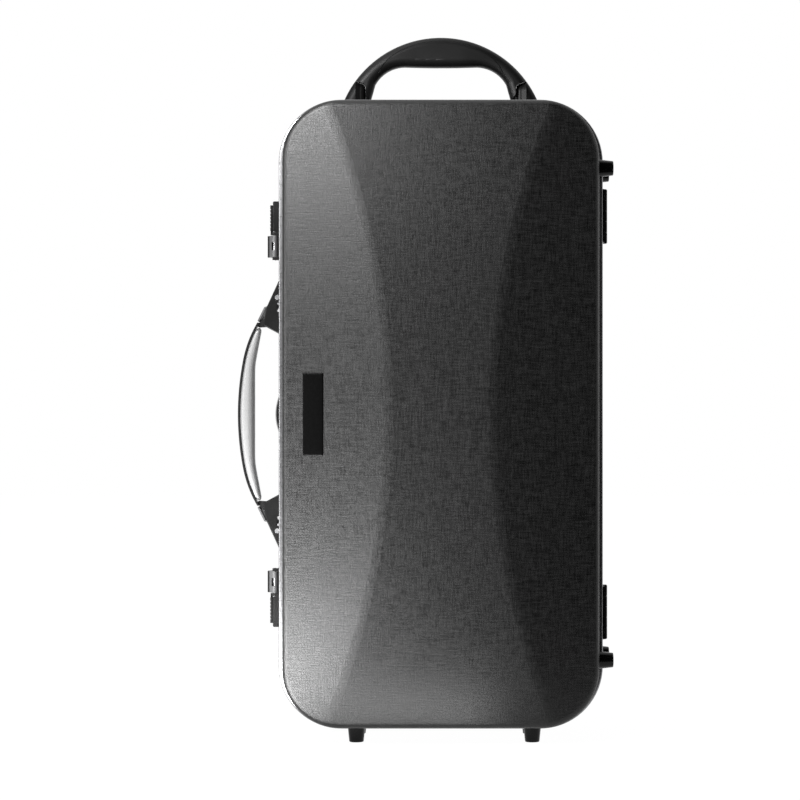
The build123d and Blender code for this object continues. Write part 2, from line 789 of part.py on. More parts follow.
def bow(inset):
    """Outer line of the side handle, moved inwards: a flat arc with a tighter arc at each end."""
    bend = (strap_bend_out - inset, strap_bend_height)
    low_bend = (strap_bend_out - inset, -strap_bend_height)
    middle = ThreePointArc(low_bend, (strap_reach - inset, 0), bend)
    upper = TangentArc(bend, (strap_end_out - inset, strap_end_height), tangent=middle % 1)
    lower = TangentArc(low_bend, (strap_end_out - inset, -strap_end_height), tangent=-(middle % 0))
    return upper, lower


with BuildPart() as handle_strap:
    with BuildSketch(left_plane(handle_y)):
        with BuildLine():
            outer_ends = bow(0)
            inner_ends = bow(strap_thickness)
            for outer_end, inner_end in zip(outer_ends, inner_ends):
                Line(outer_end @ 1, inner_end @ 1)
        make_face()
    extrude(amount=strap_width / 2, both=True)
    for half in (-1, 1):
        root = (strap_end_out - strap_thickness, half * (strap_end_height - ear_root_drop))
        for face in (-1, 1):
            ear_plane = left_plane(handle_y + face * (arm_thickness / 2 + ear_gap))
            with BuildSketch(ear_plane):
                with Locations((eye_out, half * eye_height)):
                    Circle(eye_radius)
                with Locations(root):
                    Circle(strap_thickness)
                make_hull()
            extrude(amount=face * ear_thickness)
        with BuildSketch(left_plane(handle_y)):
            with Locations((eye_out, half * eye_height)):
                Circle(arm_pin / 2)
        extrude(amount=ear_outer, both=True, mode=Mode.SUBTRACT)
save(handle_strap.part, "handle_strap")

with BuildPart() as handle_grip:
    with BuildSketch(left_plane(handle_y)):
        with BuildLine():
            ends = bow(strap_thickness)
            inside = FilletPolyline(
                (grip_end_out, strap_end_height), (grip_inner, grip_flat),
                (grip_inner, -grip_flat), (grip_end_out, -strap_end_height), radius=grip_bend,
            )
            Line(ends[0] @ 1, inside @ 0)
            Line(ends[1] @ 1, inside @ 1)
        make_face()
    extrude(amount=grip_width / 2, both=True)
    with BuildSketch(Plane(origin=(-rim_x, handle_y, mid_z), x_dir=(0, 1, 0), z_dir=(-1, 0, 0))):
        with BuildLine():
            sides = []
            for half in (-1, 1):
                end = half * grip_end_width / 2
                middle = (half * grip_width / 2, 0)
                sides.append(ThreePointArc((end, -grip_end_height), middle, (end, grip_end_height)))
            Line(sides[0] @ 0, sides[1] @ 0)
            Line(sides[0] @ 1, sides[1] @ 1)
        make_face()
    extrude(amount=2 * strap_reach, mode=Mode.INTERSECT)
    long_edges = handle_grip.edges().filter_by(lambda edge: abs(edge.center().Z - mid_z) < grip_end_height - over_cut)
    fillet(long_edges.filter_by(lambda edge: edge.length > 2 * grip_flat), grip_round)
save(handle_grip.part, "handle_grip")

with BuildPart() as handle_rest:
    with BuildSketch(Plane(origin=(-wall_x, rest_y, mid_z), x_dir=(-1, 0, 0), z_dir=(0, 0, 1))):
        with BuildLine():
            crown = rim_stand + rest_stand
            rise = crown - rest_edge
            ball = ((rest_diameter / 2) ** 2 + rise**2) / (2 * rise)
            flank = crown - ball + sqrt(ball**2 - (rest_diameter / 4) ** 2)
            top = ThreePointArc((crown, 0), (flank, rest_diameter / 4), (rest_edge, rest_diameter / 2))
            Polyline(top @ 1, (0, rest_diameter / 2), (0, 0), top @ 0)
        make_face()
    revolve(axis=Axis((-wall_x, rest_y, mid_z), (-1, 0, 0)))
    with BuildSketch(left_plane(rim_height + rest_gap)):
        Rectangle(case_width, case_width)
    extrude(amount=-rest_diameter, mode=Mode.SUBTRACT)
save(handle_rest.part, "handle_rest")

# End handle: an arched bar, parted into a spine and a grip, folds on two pins in posts that carry on its line
end_mid = Plane(origin=(0, end_handle_y, mid_z + rim_z), x_dir=(1, 0, 0), z_dir=(0, -1, 0))
pivot_z = mid_z + rim_z + end_pivot_height
pivot_axis = Axis((0, end_handle_y, pivot_z), (1, 0, 0))
bar_half = end_bar_depth / 2


def dome_line(swell, base_height):
    """Half outline of a post's dome over a base height: inner face, rounded shoulder, slope to the arch."""
    face = knuckle_face - swell
    low = (face, base_height + knuckle_inner_radius)
    bend = (knuckle_face + knuckle_mid_out, base_height + knuckle_mid_radius + swell)
    end = (arch_x(end_pivot_height + knuckle_outer_radius), base_height + knuckle_outer_radius + swell)
    Line((face, base_height), low)
    TangentArc(low, bend, tangent=(0, 1))
    Line(bend, end)
    return (face, base_height), end


def parting_zone(gap):
    """Closed outline under the parting line between the end handle's spine and its grip."""
    side_point = (end_half_span - parting_side_depth + gap, parting_side_height)
    tip = (end_half_span - parting_tip_depth + gap, parting_tip_height)
    grip_tip = end_half_span - grip_tip_depth
    top = ThreePointArc(
        (-side_point[0], side_point[1]), (0, end_handle_top - parting_top + gap), side_point
    )
    for half, start, tangent in ((1, top @ 1, top % 1), (-1, top @ 0, -(top % 0))):
        side_arc = TangentArc(start, (half * tip[0], tip[1]), tangent=tangent)
        Line(side_arc @ 1, (half * grip_tip, grip_tip_height))
    Line((grip_tip, grip_tip_height), (-grip_tip, grip_tip_height))


with BuildPart() as arch_bar:
    with BuildSketch(end_mid):
        with BuildLine():
            reach = arch_x(0)
            ThreePointArc((-reach, 0), (0, end_handle_top), (reach, 0))
            for half in (-1, 1):
                Line((half * reach, 0), (half * leg_inner, 0))
                Line((half * leg_inner, 0), (half * leg_top_inner, leg_top_height))
                under_end = (half * grip_under_half, grip_under)
                TangentArc(under_end, (half * leg_top_inner, leg_top_height), tangent=(half, 0))
            ThreePointArc(
                (-grip_under_half, grip_under), (0, grip_under - grip_bulge), (grip_under_half, grip_under)
            )
        make_face()
    extrude(amount=bar_half, both=True)
    rounded = arch_bar.edges().filter_by(lambda edge: abs(edge.center().Y - end_handle_y) > over_cut)
    rounded = rounded.filter_by(lambda edge: edge.center().Z > mid_z + rim_z + 2 * over_cut)
    fillet(rounded, end_bar_round)

with BuildPart() as end_bar:
    add(arch_bar.part)
    for half in (-1, 1):
        with BuildSketch(end_mid):
            with BuildLine():
                foot_point, end = dome_line(post_gap, end_pivot_height)
                far = end_handle_radius + over_cut
                Polyline(end, (far, end[1]), (far, 0), (foot_point[0], 0), foot_point)
            make_face()
            if half < 0:
                mirror(about=Plane.YZ, mode=Mode.REPLACE)
        extrude(amount=end_bar_depth, both=True, mode=Mode.SUBTRACT)
with BuildPart() as cheeks:
    add(end_bar.part)
    with BuildSketch(Plane(origin=(0, end_handle_y, pivot_z), x_dir=(0, 1, 0), z_dir=(1, 0, 0))):
        Circle(bar_half)
    extrude(amount=end_handle_radius, both=True, mode=Mode.INTERSECT)
with BuildPart() as folding_bar:
    add(end_bar.part)
    with BuildSketch(Plane.XY.offset(mid_z + rim_z)):
        with Locations((0, end_handle_y)):
            Rectangle(2 * end_handle_radius, end_bar_depth)
    extrude(amount=end_pivot_height, mode=Mode.SUBTRACT)
    add(cheeks.part)
    pin_start = knuckle_face - cheek_width - post_gap
    with BuildSketch(Plane(origin=(0, end_handle_y, pivot_z), x_dir=(0, 1, 0), z_dir=(1, 0, 0))):
        Circle(end_pin / 2 + running_gap)
    extrude(amount=knuckle_face, both=True, mode=Mode.SUBTRACT)
with BuildPart() as groove:
    with BuildSketch(end_mid):
        for edge_shift, mode in ((0, Mode.ADD), (-parting_groove, Mode.SUBTRACT)):
            with BuildLine():
                parting_zone(edge_shift)
            make_face(mode=mode)
    extrude(amount=end_bar_depth, both=True)
    with BuildSketch(end_mid):
        Rectangle(2 * end_handle_radius, 2 * end_handle_radius)
    extrude(amount=bar_half - parting_groove_depth, both=True, mode=Mode.SUBTRACT)
for name, gap, mode in (("spine", post_gap / 4, Mode.SUBTRACT), ("grip", -post_gap / 4, Mode.INTERSECT)):
    with BuildPart() as handle_half:
        add(folding_bar.part)
        with BuildSketch(end_mid):
            with BuildLine():
                parting_zone(gap)
            make_face()
        extrude(amount=end_bar_depth, both=True, mode=mode)
        if name == "grip":
            add(groove.part, mode=Mode.SUBTRACT)
    save(handle_half.part, f"end_handle_{name}")

with BuildPart() as right_end_post:
    add(arch_bar.part)
    sleeve_in, sleeve_height = arch_x(end_pivot_height + knuckle_outer_radius), end_pivot_height + knuckle_outer_radius
    with BuildSketch(end_mid):
        with Locations(((sleeve_in + end_handle_radius) / 2, sleeve_height / 2)):
            Rectangle(end_handle_radius - sleeve_in, sleeve_height)
    extrude(amount=end_bar_depth, both=True, mode=Mode.INTERSECT)
    extrude(right_end_post.faces().sort_by(Axis.Z)[0], amount=rim_stand)
    with BuildSketch(Plane(origin=(0, end_handle_y, pivot_z), x_dir=(1, 0, 0), z_dir=(0, -1, 0))):
        with BuildLine():
            foot_point, end = dome_line(0, 0)
            Polyline(end, (end[0], 0), foot_point)
        make_face()
    revolve(axis=pivot_axis)
    for half in (-1, 1):
        down = Plane(origin=(0, end_handle_y, pivot_z), x_dir=(1, 0, 0), z_dir=(0, 0, -1))
        with BuildSketch(down):
            with BuildLine():
                foot_point, end = dome_line(0, 0)
                Polyline(end, (end[0], 0), foot_point)
            make_face()
            if half < 0:
                mirror(about=Plane.XZ, mode=Mode.REPLACE)
        extrude(amount=end_pivot_height + rim_stand)
    with BuildSketch(top_wall(0, end_handle_y)):
        with Locations(((post_inner + post_outer) / 2, 0)):
            RectangleRounded(post_outer - post_inner, post_foot_width, post_foot_margin / 2)
    extrude(amount=post_foot_thickness)
    for seat in post_seats[2:]:
        with Locations(seat.offset(post_foot_thickness)):
            Hole(screw_hole / 2, depth=post_foot_thickness)
    with BuildSketch(Plane(origin=(knuckle_face, end_handle_y, pivot_z), x_dir=(0, 1, 0), z_dir=(1, 0, 0))):
        Circle(end_pin / 2)
    extrude(amount=end_pin_length - cheek_width, mode=Mode.SUBTRACT)
save(right_end_post.part, "right_end_post")
with BuildPart() as left_end_post:
    mirror(right_end_post.part, about=Plane.YZ)
save(left_end_post.part, "left_end_post")

with BuildPart() as end_pins:
    for half in (-1, 1):
        start = Plane(origin=(half * pin_start, end_handle_y, pivot_z), x_dir=(0, 1, 0), z_dir=(half, 0, 0))
        with BuildSketch(start):
            Circle(end_pin / 2)
        extrude(amount=end_pin_length)
save(end_pins.part, "end_handle_pins")
post_heads = [seat.offset(post_foot_thickness) for seat in post_seats]
save(fastener(post_heads, screw_head, screw_head_height, screw_shank,
              post_foot_thickness + shell_wall + nut_height, nut_across, nut_height), "post_screws")

# Interior: a foam tray with bays in the base, a padded lining in the lid
tray_inset = rim_stand + shell_wall + tray_gap
tray_x = rim_x - tray_inset
bay_widths = [bay[0] for bay in (long_bay, wing_bay, boot_bay, bell_bay)]
bay_gap = (2 * tray_x - sum(bay_widths)) / (len(bay_widths) + 1)
bay_foot = -long_bay[1] / 2
bay_centers = []
edge = tray_x
for width in bay_widths:
    bay_centers.append(edge - bay_gap - width / 2)
    edge = edge - bay_gap - width
long_x, wing_x, boot_x, bell_x = bay_centers
tray_face = Plane(origin=(0, tray_top, mid_z), x_dir=(1, 0, 0), z_dir=(0, -1, 0))


def sunk(outline, depth, edge_round):
    """Bay with rounded bottom edges, sunk from the tray's face."""
    with BuildPart() as bay:
        extrude(outline, amount=-depth)
        bottom = bay.faces().sort_by(Axis.Y)[-1]
        fillet(bottom.edges(), edge_round)
    return bay.part


def straight_bay(center, size):
    """Bay for a straight joint, from the lower end of the tray upwards."""
    width, length, depth = size
    with BuildSketch(tray_face) as outline:
        with Locations((center, bay_foot + length / 2)):
            RectangleRounded(width, length, width / 2 - bay_corner_rest)
    return sunk(outline.sketch, depth, bay_edge_round)


def bell_outline():
    """The bell's bay widens towards the bell's rim."""
    width, length = bell_bay[:2]
    flare_z = bay_foot + bell_flare
    with BuildSketch(tray_face) as outline:
        with BuildLine():
            FilletPolyline(
                (bell_x - bell_neck / 2, bay_foot), (bell_x + bell_neck / 2, bay_foot),
                (bell_x + width / 2, flare_z), (bell_x + width / 2, bay_foot + length),
                (bell_x - width / 2, bay_foot + length), (bell_x - width / 2, flare_z),
                radius=bay_edge_round, close=True,
            )
        make_face()
    return outline.sketch


pocket_left = boot_x - boot_bay[0] / 2
pocket_right = wing_x + wing_bay[0] / 2
pocket_x = (pocket_left + pocket_right) / 2
pocket_width = pocket_right - pocket_left
cover_top = -bay_foot
box_height = cover_length - 2 * cover_ledge
box_z = cover_top - cover_length / 2
pocket_foot = bay_foot + wing_bay[1] + bay_gap
pocket_top = cover_top - cover_length - bay_gap / 2
rest_foot = bay_foot + boot_bay[1] + bay_gap
rest_top = bay_foot + wing_bay[1]
hinge_line_y = tray_top + cover_thickness / 2
hinge_line_z = mid_z + cover_top - cover_barrel
with BuildPart() as foam_tray:
    add(shell_form(back, tray_inset, base_depth - shell_wall - tray_gap, tray_top))
    for center, size in ((long_x, long_bay), (wing_x, wing_bay), (boot_x, boot_bay)):
        add(straight_bay(center, size), mode=Mode.SUBTRACT)
    add(sunk(bell_outline(), bell_bay[2], bay_edge_round), mode=Mode.SUBTRACT)
    with BuildSketch(tray_face):
        with BuildLine():
            crook_foot = bay_foot + bell_bay[1] + bay_gap
            crook_top = crook_foot + crook_bay[1]
            bow_x = crook_bay[0] - crook_slot
            ThreePointArc(
                (bell_x - bow_x / 2, crook_foot + crook_slot / 2),
                (bell_x + bow_x / 2, (crook_foot + crook_top) / 2),
                (bell_x - bow_x / 2, crook_top - crook_slot / 2),
            )
            offset(amount=crook_slot / 2, side=Side.BOTH, mode=Mode.REPLACE)
        make_face()
    extrude(amount=-crook_bay[2], mode=Mode.SUBTRACT)
    for left, right, low, high, depth in (
        (pocket_left, pocket_right, pocket_foot, pocket_top, pocket_depth),
        (pocket_left, boot_x + boot_bay[0] / 2, rest_foot, rest_top, pocket_depth),
        (pocket_left + cover_ledge, pocket_right - cover_ledge, box_z - box_height / 2,
         box_z + box_height / 2, accessory_depth),
    ):
        with BuildSketch(tray_face):
            with Locations(((left + right) / 2, (low + high) / 2)):
                RectangleRounded(right - left, high - low, pocket_corner)
        extrude(amount=-depth, mode=Mode.SUBTRACT)
    with BuildSketch(tray_face):
        with Locations((pocket_x, box_z)):
            RectangleRounded(pocket_width, cover_length, cover_corner)
    extrude(amount=-cover_thickness - cover_gap, mode=Mode.SUBTRACT)
    hinge_section = Plane(origin=(pocket_left, hinge_line_y, hinge_line_z), x_dir=(0, 1, 0), z_dir=(1, 0, 0))
    with BuildSketch(hinge_section):
        Circle(cover_barrel + cover_gap)
    extrude(amount=pocket_width, mode=Mode.SUBTRACT)
    with BuildSketch(hinge_section.offset(-cover_pin_seat)):
        Circle(cover_pin / 2)
    extrude(amount=pocket_width + 2 * cover_pin_seat, mode=Mode.SUBTRACT)
save(foam_tray.part, "foam_tray")

with BuildPart() as accessory_cover:
    with BuildSketch(tray_face):
        with Locations((pocket_x, box_z)):
            RectangleRounded(pocket_width - 2 * cover_gap, cover_length - 2 * cover_gap, cover_corner)
        with Locations((pocket_x, box_z - cover_length / 2)):
            Circle(finger_notch, mode=Mode.SUBTRACT)
    extrude(amount=-cover_thickness)
    with BuildSketch(hinge_section.offset(cover_gap)):
        Circle(cover_barrel)
    extrude(amount=pocket_width - 2 * cover_gap)
    with BuildSketch(hinge_section):
        Circle(cover_pin / 2 + running_gap)
    extrude(amount=pocket_width, mode=Mode.SUBTRACT)
save(accessory_cover.part, "accessory_cover")

with BuildPart() as cover_pin_rod:
    with BuildSketch(hinge_section.offset(-cover_pin_seat)):
        Circle(cover_pin / 2)
    extrude(amount=pocket_width + 2 * cover_pin_seat)
save(cover_pin_rod.part, "accessory_cover_pin")

with BuildPart() as lid_lining:
    lining_depth = lid_depth - shell_wall - tray_gap
    add(shell_form(front, tray_inset, lining_depth, lining_start))
    add(shell_form(front, tray_inset + lining_thickness, lining_depth - lining_thickness),
        mode=Mode.SUBTRACT)
save(lid_lining.part, "lid_lining")
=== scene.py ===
import bmesh
import bpy
import numpy as np
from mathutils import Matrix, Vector


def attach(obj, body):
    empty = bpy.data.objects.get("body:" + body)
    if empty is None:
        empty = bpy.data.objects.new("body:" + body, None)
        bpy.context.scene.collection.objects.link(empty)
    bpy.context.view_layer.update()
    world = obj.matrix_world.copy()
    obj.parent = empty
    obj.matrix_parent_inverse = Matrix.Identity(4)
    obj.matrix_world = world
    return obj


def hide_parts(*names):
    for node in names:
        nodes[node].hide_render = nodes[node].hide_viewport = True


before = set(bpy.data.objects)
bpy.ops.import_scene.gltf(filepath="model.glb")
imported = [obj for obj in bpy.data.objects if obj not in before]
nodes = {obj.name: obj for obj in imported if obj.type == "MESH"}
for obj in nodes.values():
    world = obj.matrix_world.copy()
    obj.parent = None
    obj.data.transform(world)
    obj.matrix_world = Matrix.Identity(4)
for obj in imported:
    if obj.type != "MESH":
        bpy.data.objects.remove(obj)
scene = bpy.context.scene
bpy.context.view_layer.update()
mm = 0.001
midZ = 0.341  # middle of the case's length
print("stage: CAD frame loaded,", len(nodes), "nodes")

# Camera, in front of the lid at the height of the case's middle
photoCamera = {
    "distance": 2.70,  # from the seam
    "pictureWidth": 0.844,  # width of the picture at the seam
    "sensor": 36.0,
    "shift": (-0.051, 0.0177),
    "farClip": 60.0,
}


def makeCamera(c):
    data = bpy.data.cameras.new("photoCamera")
    data.sensor_width = c["sensor"]
    data.lens = c["sensor"] * c["distance"] / c["pictureWidth"]
    data.shift_x, data.shift_y = c["shift"]
    data.clip_end = c["farClip"]
    camera = bpy.data.objects.new("photoCamera", data)
    camera.location = (0, -c["distance"], midZ)
    camera.rotation_euler = (np.pi / 2, 0, 0)
    scene.collection.objects.link(camera)
    scene.camera = camera


makeCamera(photoCamera)
scene.view_settings.view_transform = "Standard"

# Small helpers for node trees


def socketValue(tree, socket, value):
    if hasattr(value, "is_output"):
        tree.links.new(value, socket)
    else:
        socket.default_value = value


def mathNode(tree, operation, a, b=0.0):
    node = tree.nodes.new("ShaderNodeMath")
    node.operation = operation
    socketValue(tree, node.inputs[0], a)
    socketValue(tree, node.inputs[1], b)
    return node.outputs[0]


def vectorNode(tree, operation, a, b):
    node = tree.nodes.new("ShaderNodeVectorMath")
    node.operation = operation
    socketValue(tree, node.inputs[0], a)
    socketValue(tree, node.inputs[1], b)
    return node.outputs[0]


def rangeNode(tree, value, low, high, newLow, newHigh):
    node = tree.nodes.new("ShaderNodeMapRange")
    for socket, given in zip(node.inputs, (value, low, high, newLow, newHigh)):
        socketValue(tree, socket, given)
    return node.outputs[0]


def colourMix(tree, amount, a, b):  # a where the amount is 0, b where it is 1
    node = tree.nodes.new("ShaderNodeMix")
    node.data_type = "RGBA"
    socketValue(tree, node.inputs[0], amount)
    socketValue(tree, node.inputs[6], a)
    socketValue(tree, node.inputs[7], b)
    return node.outputs[2]


def noiseNode(tree, vector, size, detail=2.0, roughness=0.5):  # size of its waves, in the vector's unit
    node = tree.nodes.new("ShaderNodeTexNoise")
    node.inputs["Scale"].default_value = 1 / size
    node.inputs["Detail"].default_value = detail
    node.inputs["Roughness"].default_value = roughness
    tree.links.new(vector, node.inputs["Vector"])
    return node.outputs["Fac"]


def seenAsBackground(tree):  # 1 for what the camera sees directly, in gloss or through glass
    rays = tree.nodes.new("ShaderNodeLightPath")
    seen = mathNode(tree, "MAXIMUM", rays.outputs["Is Camera Ray"], rays.outputs["Is Glossy Ray"])
    return mathNode(tree, "MAXIMUM", seen, rays.outputs["Is Transmission Ray"])


# Studio: a white floor, light boxes at the left and above, and cards and dark flags that only gloss sees
studio = {
    "worldLevel": 0.30,
    "floorSize": 16.0,
    "floorColour": 0.80,
    "floorRough": 0.9,
    "floorGloss": 0.1,
    "floorGlow": 0.94,  # share of the floor that is plain white to the camera, the rest takes the shadow
    "floorWhite": 1.05,  # a little over white, so that the floor's far edge doesn't show
    "boxes": {
        # name: (place, looks at, width, height, watts)
        "lowLeftBox": ((-0.37, -0.27, 0.004), (-0.37, -0.27, 1.0), 0.36, 0.30, 20.0),
        "footBox": ((-0.06, -0.15, 0.004), (-0.06, -0.15, 1.0), 0.22, 0.08, 0.7),
        "highLeftBox": ((-0.38, -0.46, 0.83), (-0.14, -0.07, 0.62), 0.25, 0.20, 9.5),
        "sideBox": ((-1.25, -0.38, 0.50), (-0.16, -0.05, 0.45), 0.15, 0.9, 8.0),
        "topBox": ((-0.3, -0.5, 2.3), (0.0, 0.0, 0.4), 1.2, 1.2, 10.0),
    },
    "cards": {
        # name: (place, looks at, width, height, level)
        "frontCard": ((-0.35, -3.3, 1.35), (-0.35, 0.0, 1.35), 1.4, 2.7, 0.22),
        "frontFlag": ((1.75, -3.3, 1.35), (1.75, 0.0, 1.35), 2.8, 2.7, 0.0),
        "leftCard": ((-2.4, 2.0, 1.35), (0.0, 2.0, 1.35), 4.2, 2.7, 0.25),
        "sideCard": ((-4.6, 0.95, 1.35), (0.0, 0.95, 1.35), 2.2, 2.7, 0.10),
        "rightFlag": ((2.9, -2.6, 1.35), (0.0, -2.6, 1.35), 2.2, 2.7, 0.0),
        "roofFlag": ((1.15, -1.75, 2.7), (1.15, -1.75, 0.0), 3.5, 3.2, 0.0),
        "floorFlag": ((1.40, -1.75, 0.002), (1.40, -1.75, -1.0), 2.7, 3.0, 0.0),
    },
}


def aimed(obj, place, target):
    obj.location = place
    obj.rotation_euler = (Vector(target) - Vector(place)).to_track_quat("-Z", "Y").to_euler()


def makeWorld(s):
    # The camera and the gloss see plain white, and the light on everything else is weaker
    world = bpy.data.worlds.new("studioWorld")
    scene.world = world
    world.use_nodes = True
    tree = world.node_tree
    tree.nodes.clear()
    lit = tree.nodes.new("ShaderNodeBackground")
    lit.inputs["Strength"].default_value = s["worldLevel"]
    white = tree.nodes.new("ShaderNodeBackground")
    mix = tree.nodes.new("ShaderNodeMixShader")
    output = tree.nodes.new("ShaderNodeOutputWorld")
    for background in (lit, white):
        background.inputs["Color"].default_value = (1, 1, 1, 1)
    tree.links.new(seenAsBackground(tree), mix.inputs[0])
    tree.links.new(lit.outputs[0], mix.inputs[1])
    tree.links.new(white.outputs[0], mix.inputs[2])
    tree.links.new(mix.outputs[0], output.inputs[0])


def makeFloor(s):
    bpy.ops.mesh.primitive_plane_add(size=s["floorSize"])
    floor = bpy.context.object
    floor.name = "studioFloor"
    floorPaint = bpy.data.materials.new("floorPaint")
    floorPaint.use_nodes = True
    tree = floorPaint.node_tree
    shader = tree.nodes["Principled BSDF"]
    shader.inputs["Base Color"].default_value = (s["floorColour"],) * 3 + (1,)
    shader.inputs["Roughness"].default_value = s["floorRough"]
    shader.inputs["Specular IOR Level"].default_value = s["floorGloss"]
    glow = tree.nodes.new("ShaderNodeEmission")
    glow.inputs["Strength"].default_value = s["floorWhite"]
    mix = tree.nodes.new("ShaderNodeMixShader")
    share = mathNode(tree, "MULTIPLY", seenAsBackground(tree), s["floorGlow"])
    tree.links.new(share, mix.inputs[0])
    tree.links.new(shader.outputs[0], mix.inputs[1])
    tree.links.new(glow.outputs[0], mix.inputs[2])
    tree.links.new(mix.outputs[0], tree.nodes["Material Output"].inputs[0])
    floor.data.materials.append(floorPaint)


def makeBoxes(boxes):
    for name, (place, target, width, height, watts) in boxes.items():
        data = bpy.data.lights.new(name, "AREA")
        data.shape = "RECTANGLE"
        data.size, data.size_y, data.energy = width, height, watts
        box = bpy.data.objects.new(name, data)
        aimed(box, place, target)
        box.visible_camera = False
        scene.collection.objects.link(box)


def makeCards(cards):
    for name, (place, target, width, height, level) in cards.items():
        paint = bpy.data.materials.new(name)
        paint.use_nodes = True
        shader = paint.node_tree.nodes["Principled BSDF"]
        shader.inputs["Base Color"].default_value = (0, 0, 0, 1)
        shader.inputs["Specular IOR Level"].default_value = 0.0
        shader.inputs["Emission Color"].default_value = (1, 1, 1, 1)
        shader.inputs["Emission Strength"].default_value = level
        bpy.ops.mesh.primitive_plane_add(size=1)
        card = bpy.context.object
        card.name = name
        card.scale = (width, height, 1)
        aimed(card, place, target)
        card.data.materials.append(paint)
        card.visible_camera = False
        card.visible_diffuse = False
        card.visible_shadow = False


makeWorld(studio)
makeFloor(studio)
makeBoxes(studio["boxes"])
makeCards(studio["cards"])
print("stage: camera and studio")

# Shader groups that several finishes share
weave = {
    "detail": 1.5,
    "roughness": 0.6,
    "toneSpan": (0.72, 1.28),  # where most sums of the two threads' noise lie
    "overUnder": 0.35,  # height of the fine grid beside the threads' noise
}
grain = {
    "softSize": 2.5,  # in cells
    "softDetail": 3.0,
    "marksSize": 0.035,
    "marksDetail": 4.0,
    "marksRoughness": 0.6,
}
brush = {"detail": 3.0, "roughness": 0.65}
noiseSpan = (0.3, 0.7)  # where most of a noise's values lie


def newGroup(name, inputs, outputs):
    group = bpy.data.node_groups.new(name, "ShaderNodeTree")
    for direction, sockets in (("INPUT", inputs), ("OUTPUT", outputs)):
        for label, kind in sockets:
            group.interface.new_socket(label, in_out=direction, socket_type=kind)
    return group, group.nodes.new("NodeGroupInput").outputs, group.nodes.new("NodeGroupOutput").inputs


def makeWeaveGroup(w):
    # Threads lie level and upright: noise drawn out along each thread, summed, plus a fine over-under grid
    group, given, out = newGroup(
        "linenWeave",
        [("Vector", "NodeSocketVector"), ("Pitch", "NodeSocketFloat"), ("Streak", "NodeSocketFloat")],
        [("Tone", "NodeSocketFloat"), ("Height", "NodeSocketFloat")],
    )
    across = mathNode(group, "DIVIDE", 1.0, given["Pitch"])
    along = mathNode(group, "DIVIDE", 1.0, given["Streak"])
    fields = []
    for levelThreads in (True, False):
        scale = group.nodes.new("ShaderNodeCombineXYZ")
        for socket, upright in zip(scale.inputs, (False, False, True)):
            group.links.new(across if upright == levelThreads else along, socket)
        stretched = vectorNode(group, "MULTIPLY", given["Vector"], scale.outputs[0])
        fields.append(noiseNode(group, stretched, 1.0, w["detail"], w["roughness"]))
    tone = mathNode(group, "ADD", fields[0], fields[1])
    split = group.nodes.new("ShaderNodeSeparateXYZ")
    group.links.new(given["Vector"], split.inputs[0])
    turn = mathNode(group, "MULTIPLY", across, 2 * np.pi)
    flat = mathNode(group, "ADD", split.outputs[0], split.outputs[1])
    overUnder = mathNode(
        group, "MULTIPLY",
        mathNode(group, "SINE", mathNode(group, "MULTIPLY", flat, turn)),
        mathNode(group, "SINE", mathNode(group, "MULTIPLY", split.outputs[2], turn)),
    )
    group.links.new(rangeNode(group, tone, *w["toneSpan"], 0.0, 1.0), out["Tone"])
    grid = mathNode(group, "MULTIPLY", overUnder, w["overUnder"])
    group.links.new(mathNode(group, "ADD", tone, grid), out["Height"])
    return group


def makeGrainGroup(g):
    # Moulded grain: small cells over a slower noise, and a slow field for handling marks
    group, given, out = newGroup(
        "mouldedGrain",
        [("Vector", "NodeSocketVector"), ("Size", "NodeSocketFloat")],
        [("Tone", "NodeSocketFloat"), ("Height", "NodeSocketFloat"), ("Marks", "NodeSocketFloat")],
    )
    inverse = mathNode(group, "DIVIDE", 1.0, given["Size"])
    scaled = group.nodes.new("ShaderNodeVectorMath")
    scaled.operation = "SCALE"
    group.links.new(given["Vector"], scaled.inputs[0])
    group.links.new(inverse, scaled.inputs["Scale"])
    cells = group.nodes.new("ShaderNodeTexVoronoi")
    cells.inputs["Scale"].default_value = 1.0
    group.links.new(scaled.outputs[0], cells.inputs["Vector"])
    soft = noiseNode(group, scaled.outputs[0], g["softSize"], g["softDetail"])
    group.links.new(mathNode(group, "ADD", cells.outputs["Distance"], soft), out["Height"])
    group.links.new(soft, out["Tone"])
    marks = noiseNode(group, given["Vector"], g["marksSize"], g["marksDetail"], g["marksRoughness"])
    group.links.new(marks, out["Marks"])
    return group


def makeBrushGroup(b):
    # Brushed lines: noise drawn out along one axis
    group, given, out = newGroup(
        "brushedLines",
        [("Vector", "NodeSocketVector"), ("Stretch", "NodeSocketVector")],
        [("Tone", "NodeSocketFloat"), ("Height", "NodeSocketFloat")],
    )
    stretched = vectorNode(group, "MULTIPLY", given["Vector"], given["Stretch"])
    lines = noiseNode(group, stretched, 1.0, b["detail"], b["roughness"])
    group.links.new(lines, out["Tone"])
    group.links.new(lines, out["Height"])
    return group


weaveGroup = makeWeaveGroup(weave)
grainGroup = makeGrainGroup(grain)
brushGroup = makeBrushGroup(brush)


def groupNode(tree, group, **values):
    node = tree.nodes.new("ShaderNodeGroup")
    node.node_tree = group
    for label, value in values.items():
        socketValue(tree, node.inputs[label], value)
    return node.outputs


metalTint = 0.02  # a little more blue than red and green


def grey(level, tint=0.0):
    return (level, level, level * (1 + tint), 1)


def startFinish(name, f):
    paint = bpy.data.materials.new(name)
    paint.use_nodes = True
    tree = paint.node_tree
    shader = tree.nodes["Principled BSDF"]
    shader.inputs["Metallic"].default_value = f.get("metallic", 0.0)
    shader.inputs["Specular IOR Level"].default_value = f.get("specular", 0.5)
    shader.inputs["Sheen Weight"].default_value = f.get("sheen", 0.0)
    place = tree.nodes.new("ShaderNodeTexCoord").outputs["Object"]
    return paint, tree, shader, place


